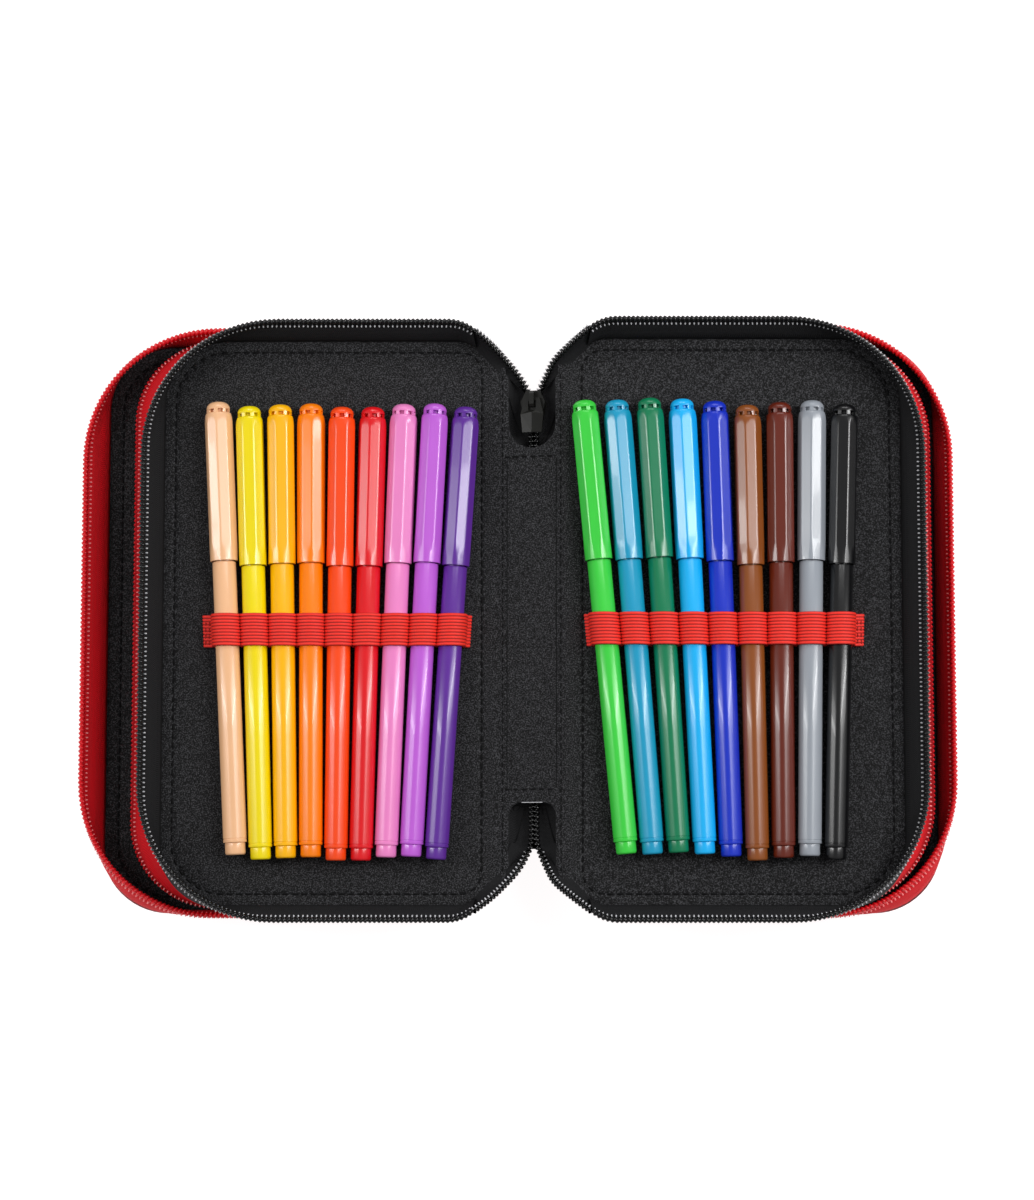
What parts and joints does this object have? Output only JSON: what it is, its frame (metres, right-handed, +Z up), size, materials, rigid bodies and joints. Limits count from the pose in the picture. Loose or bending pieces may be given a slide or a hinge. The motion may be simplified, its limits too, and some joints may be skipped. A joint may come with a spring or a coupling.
{
  "type": "filled pencil case",
  "caption": "Three-compartment zip pencil case lying open like a book at its middle compartment, with capped felt-tip pens held in ribbed elastic loops on both leaves.",
  "frame": {"origin": "centre of the case's footprint, on the surface that it lies on", "axes": "+Z up, +Y along the pens towards their caps, +X towards the right half as one looks down on it"},
  "size_m": [0.2956, 0.2032, 0.0379],
  "materials": {
    "black_polyester": "black woven polyester over stiff board",
    "red_polyester": "red woven polyester",
    "black_zip": "black twill tape with a nylon coil",
    "red_zip": "red twill tape with a nylon coil",
    "red_elastic": "red ribbed elastic",
    "black_enamel": "black enamelled zinc",
    "pen_purple": "moulded polypropylene, through-coloured",
    "pen_lilac": "moulded polypropylene, through-coloured",
    "pen_pink": "moulded polypropylene, through-coloured",
    "pen_red": "moulded polypropylene, through-coloured",
    "pen_vermilion": "moulded polypropylene, through-coloured",
    "pen_orange": "moulded polypropylene, through-coloured",
    "pen_golden": "moulded polypropylene, through-coloured",
    "pen_yellow": "moulded polypropylene, through-coloured",
    "pen_beige": "moulded polypropylene, through-coloured",
    "pen_green": "moulded polypropylene, through-coloured",
    "pen_teal": "moulded polypropylene, through-coloured",
    "pen_forest": "moulded polypropylene, through-coloured",
    "pen_sky": "moulded polypropylene, through-coloured",
    "pen_royal": "moulded polypropylene, through-coloured",
    "pen_brown": "moulded polypropylene, through-coloured",
    "pen_umber": "moulded polypropylene, through-coloured",
    "pen_grey": "moulded polypropylene, through-coloured",
    "pen_black": "moulded polypropylene, through-coloured"
  },
  "bodies": {
    "spine": {"spine_middle": "black_polyester", "middle_zip_top_end": "black_zip", "middle_zip_bottom_end": "black_zip"},
    "middle_slider": {"middle_slider": "black_enamel"},
    "middle_pull_tab": {"middle_pull_tab": "black_enamel"},
    "left_leaf": {"leaf_left": "black_polyester", "middle_zip_left": "black_zip", "outer_zip_left_leaf_side": "red_zip", "elastic_band_left": "red_elastic"},
    "left_spine": {"spine_left": "red_polyester"},
    "left_cover": {"cover_left": "red_polyester", "outer_zip_left_cover_side": "red_zip"},
    "outer_slider_left": {"outer_slider_left": "black_enamel"},
    "outer_pull_tab_left": {"outer_pull_tab_left": "black_enamel"},
    "barrel_purple": {"barrel_purple": "pen_purple"},
    "cap_purple": {"cap_purple": "pen_purple"},
    "barrel_lilac": {"barrel_lilac": "pen_lilac"},
    "cap_lilac": {"cap_lilac": "pen_lilac"},
    "barrel_pink": {"barrel_pink": "pen_pink"},
    "cap_pink": {"cap_pink": "pen_pink"},
    "barrel_red": {"barrel_red": "pen_red"},
    "cap_red": {"cap_red": "pen_red"},
    "barrel_vermilion": {"barrel_vermilion": "pen_vermilion"},
    "cap_vermilion": {"cap_vermilion": "pen_vermilion"},
    "barrel_orange": {"barrel_orange": "pen_orange"},
    "cap_orange": {"cap_orange": "pen_orange"},
    "barrel_golden": {"barrel_golden": "pen_golden"},
    "cap_golden": {"cap_golden": "pen_golden"},
    "barrel_yellow": {"barrel_yellow": "pen_yellow"},
    "cap_yellow": {"cap_yellow": "pen_yellow"},
    "barrel_beige": {"barrel_beige": "pen_beige"},
    "cap_beige": {"cap_beige": "pen_beige"},
    "right_leaf": {"leaf_right": "black_polyester", "middle_zip_right": "black_zip", "outer_zip_right_leaf_side": "red_zip", "elastic_band_right": "red_elastic"},
    "right_spine": {"spine_right": "red_polyester"},
    "right_cover": {"cover_right": "red_polyester", "outer_zip_right_cover_side": "red_zip"},
    "outer_slider_right": {"outer_slider_right": "black_enamel"},
    "outer_pull_tab_right": {"outer_pull_tab_right": "black_enamel"},
    "barrel_green": {"barrel_green": "pen_green"},
    "cap_green": {"cap_green": "pen_green"},
    "barrel_teal": {"barrel_teal": "pen_teal"},
    "cap_teal": {"cap_teal": "pen_teal"},
    "barrel_forest": {"barrel_forest": "pen_forest"},
    "cap_forest": {"cap_forest": "pen_forest"},
    "barrel_sky": {"barrel_sky": "pen_sky"},
    "cap_sky": {"cap_sky": "pen_sky"},
    "barrel_royal": {"barrel_royal": "pen_royal"},
    "cap_royal": {"cap_royal": "pen_royal"},
    "barrel_brown": {"barrel_brown": "pen_brown"},
    "cap_brown": {"cap_brown": "pen_brown"},
    "barrel_umber": {"barrel_umber": "pen_umber"},
    "cap_umber": {"cap_umber": "pen_umber"},
    "barrel_grey": {"barrel_grey": "pen_grey"},
    "cap_grey": {"cap_grey": "pen_grey"},
    "barrel_black": {"barrel_black": "pen_black"},
    "cap_black": {"cap_black": "pen_black"}
  },
  "joints": [
    {"name": "middle_slider_travel", "type": "slide", "parent": "spine", "child": "middle_slider", "axis": [0, 1, 0], "range_m": [0, 0.004]},
    {"name": "middle_pull_tab_swing", "type": "hinge", "parent": "middle_slider", "child": "middle_pull_tab", "pos_m": [0.00362, 0.07495, 0.02304], "axis": [-0.9791, 0, -0.2032], "range_deg": [0, 175]},
    {"name": "leaf_left_fold", "type": "hinge", "parent": "spine", "child": "left_leaf", "pos_m": [-0.00825, 0, 0.02119], "axis": [0, 1, 0], "range_deg": [0, 78.28]},
    {"name": "spine_left_fold", "type": "hinge", "parent": "left_leaf", "child": "left_spine", "pos_m": [-0.00825, 0, 0.01819], "axis": [0, -1, 0], "range_deg": [0, 45.1]},
    {"name": "cover_left_fold", "type": "hinge", "parent": "left_spine", "child": "left_cover", "pos_m": [-0.02525, 0, 0.00125], "axis": [0, -1, 0], "range_deg": [0, 44.9]},
    {"name": "outer_slider_left_travel", "type": "slide", "parent": "left_spine", "child": "outer_slider_left", "axis": [0, -1, 0], "range_m": [0, 0.004]},
    {"name": "outer_pull_tab_left_swing", "type": "hinge", "parent": "outer_slider_left", "child": "outer_pull_tab_left", "pos_m": [-0.01273, -0.0732, 0.00568], "axis": [-0.7083, 0, -0.7059], "range_deg": [0, 175]},
    {"name": "barrel_purple_slide", "type": "slide", "parent": "left_leaf", "child": "barrel_purple", "axis": [-0.0645, -0.9979, 0], "range_m": [-0.011, 0.012]},
    {"name": "cap_purple_pull", "type": "slide", "parent": "barrel_purple", "child": "cap_purple", "axis": [0.0645, 0.9979, 0], "range_m": [0, 0.011]},
    {"name": "barrel_lilac_slide", "type": "slide", "parent": "left_leaf", "child": "barrel_lilac", "axis": [-0.0504, -0.9987, 0], "range_m": [-0.011, 0.012]},
    {"name": "cap_lilac_pull", "type": "slide", "parent": "barrel_lilac", "child": "cap_lilac", "axis": [0.0504, 0.9987, 0], "range_m": [0, 0.011]},
    {"name": "barrel_pink_slide", "type": "slide", "parent": "left_leaf", "child": "barrel_pink", "axis": [-0.0362, -0.9993, 0], "range_m": [-0.011, 0.012]},
    {"name": "cap_pink_pull", "type": "slide", "parent": "barrel_pink", "child": "cap_pink", "axis": [0.0362, 0.9993, 0], "range_m": [0, 0.011]},
    {"name": "barrel_red_slide", "type": "slide", "parent": "left_leaf", "child": "barrel_red", "axis": [-0.022, -0.9998, 0], "range_m": [-0.011, 0.012]},
    {"name": "cap_red_pull", "type": "slide", "parent": "barrel_red", "child": "cap_red", "axis": [0.022, 0.9998, 0], "range_m": [0, 0.011]},
    {"name": "barrel_vermilion_slide", "type": "slide", "parent": "left_leaf", "child": "barrel_vermilion", "axis": [-0.0079, -1, 0], "range_m": [-0.011, 0.012]},
    {"name": "cap_vermilion_pull", "type": "slide", "parent": "barrel_vermilion", "child": "cap_vermilion", "axis": [0.0079, 1, 0], "range_m": [0, 0.011]},
    {"name": "barrel_orange_slide", "type": "slide", "parent": "left_leaf", "child": "barrel_orange", "axis": [0.0063, -1, 0], "range_m": [-0.011, 0.012]},
    {"name": "cap_orange_pull", "type": "slide", "parent": "barrel_orange", "child": "cap_orange", "axis": [-0.0063, 1, 0], "range_m": [0, 0.011]},
    {"name": "barrel_golden_slide", "type": "slide", "parent": "left_leaf", "child": "barrel_golden", "axis": [0.0205, -0.9998, 0], "range_m": [-0.011, 0.012]},
    {"name": "cap_golden_pull", "type": "slide", "parent": "barrel_golden", "child": "cap_golden", "axis": [-0.0205, 0.9998, 0], "range_m": [0, 0.011]},
    {"name": "barrel_yellow_slide", "type": "slide", "parent": "left_leaf", "child": "barrel_yellow", "axis": [0.0347, -0.9994, 0], "range_m": [-0.011, 0.012]},
    {"name": "cap_yellow_pull", "type": "slide", "parent": "barrel_yellow", "child": "cap_yellow", "axis": [-0.0347, 0.9994, 0], "range_m": [0, 0.011]},
    {"name": "barrel_beige_slide", "type": "slide", "parent": "left_leaf", "child": "barrel_beige", "axis": [0.0488, -0.9988, 0], "range_m": [-0.011, 0.012]},
    {"name": "cap_beige_pull", "type": "slide", "parent": "barrel_beige", "child": "cap_beige", "axis": [-0.0488, 0.9988, 0], "range_m": [0, 0.011]},
    {"name": "leaf_right_fold", "type": "hinge", "parent": "spine", "child": "right_leaf", "pos_m": [0.01525, 0, 0.02607], "axis": [0, -1, 0], "range_deg": [0, 101.72]},
    {"name": "spine_right_fold", "type": "hinge", "parent": "right_leaf", "child": "right_spine", "pos_m": [0.01525, 0, 0.02307], "axis": [0, 1, 0], "range_deg": [0, 24.62]},
    {"name": "cover_right_fold", "type": "hinge", "parent": "right_spine", "child": "right_cover", "pos_m": [0.02525, 0, 0.00125], "axis": [0, 1, 0], "range_deg": [0, 65.38]},
    {"name": "outer_slider_right_travel", "type": "slide", "parent": "right_spine", "child": "outer_slider_right", "axis": [0, -1, 0], "range_m": [0, 0.004]},
    {"name": "outer_pull_tab_right_swing", "type": "hinge", "parent": "outer_slider_right", "child": "outer_pull_tab_right", "pos_m": [0.01507, -0.0732, 0.00978], "axis": [-0.4167, 0, 0.9091], "range_deg": [0, 175]},
    {"name": "barrel_green_slide", "type": "slide", "parent": "right_leaf", "child": "barrel_green", "axis": [0.0906, -0.9959, 0], "range_m": [-0.011, 0.012]},
    {"name": "cap_green_pull", "type": "slide", "parent": "barrel_green", "child": "cap_green", "axis": [-0.0906, 0.9959, 0], "range_m": [0, 0.011]},
    {"name": "barrel_teal_slide", "type": "slide", "parent": "right_leaf", "child": "barrel_teal", "axis": [0.0755, -0.9971, 0], "range_m": [-0.011, 0.012]},
    {"name": "cap_teal_pull", "type": "slide", "parent": "barrel_teal", "child": "cap_teal", "axis": [-0.0755, 0.9971, 0], "range_m": [0, 0.011]},
    {"name": "barrel_forest_slide", "type": "slide", "parent": "right_leaf", "child": "barrel_forest", "axis": [0.0604, -0.9982, 0], "range_m": [-0.011, 0.012]},
    {"name": "cap_forest_pull", "type": "slide", "parent": "barrel_forest", "child": "cap_forest", "axis": [-0.0604, 0.9982, 0], "range_m": [0, 0.011]},
    {"name": "barrel_sky_slide", "type": "slide", "parent": "right_leaf", "child": "barrel_sky", "axis": [0.0453, -0.999, 0], "range_m": [-0.011, 0.012]},
    {"name": "cap_sky_pull", "type": "slide", "parent": "barrel_sky", "child": "cap_sky", "axis": [-0.0453, 0.999, 0], "range_m": [0, 0.011]},
    {"name": "barrel_royal_slide", "type": "slide", "parent": "right_leaf", "child": "barrel_royal", "axis": [0.0301, -0.9995, 0], "range_m": [-0.011, 0.012]},
    {"name": "cap_royal_pull", "type": "slide", "parent": "barrel_royal", "child": "cap_royal", "axis": [-0.0301, 0.9995, 0], "range_m": [0, 0.011]},
    {"name": "barrel_brown_slide", "type": "slide", "parent": "right_leaf", "child": "barrel_brown", "axis": [0.0149, -0.9999, 0], "range_m": [-0.011, 0.012]},
    {"name": "cap_brown_pull", "type": "slide", "parent": "barrel_brown", "child": "cap_brown", "axis": [-0.0149, 0.9999, 0], "range_m": [0, 0.011]},
    {"name": "barrel_umber_slide", "type": "slide", "parent": "right_leaf", "child": "barrel_umber", "axis": [-0.0002, -1, 0], "range_m": [-0.011, 0.012]},
    {"name": "cap_umber_pull", "type": "slide", "parent": "barrel_umber", "child": "cap_umber", "axis": [0.0002, 1, 0], "range_m": [0, 0.011]},
    {"name": "barrel_grey_slide", "type": "slide", "parent": "right_leaf", "child": "barrel_grey", "axis": [-0.0154, -0.9999, 0], "range_m": [-0.011, 0.012]},
    {"name": "cap_grey_pull", "type": "slide", "parent": "barrel_grey", "child": "cap_grey", "axis": [0.0154, 0.9999, 0], "range_m": [0, 0.011]},
    {"name": "barrel_black_slide", "type": "slide", "parent": "right_leaf", "child": "barrel_black", "axis": [-0.0305, -0.9995, 0], "range_m": [-0.011, 0.012]},
    {"name": "cap_black_pull", "type": "slide", "parent": "barrel_black", "child": "cap_black", "axis": [0.0305, 0.9995, 0], "range_m": [0, 0.011]}
  ]
}
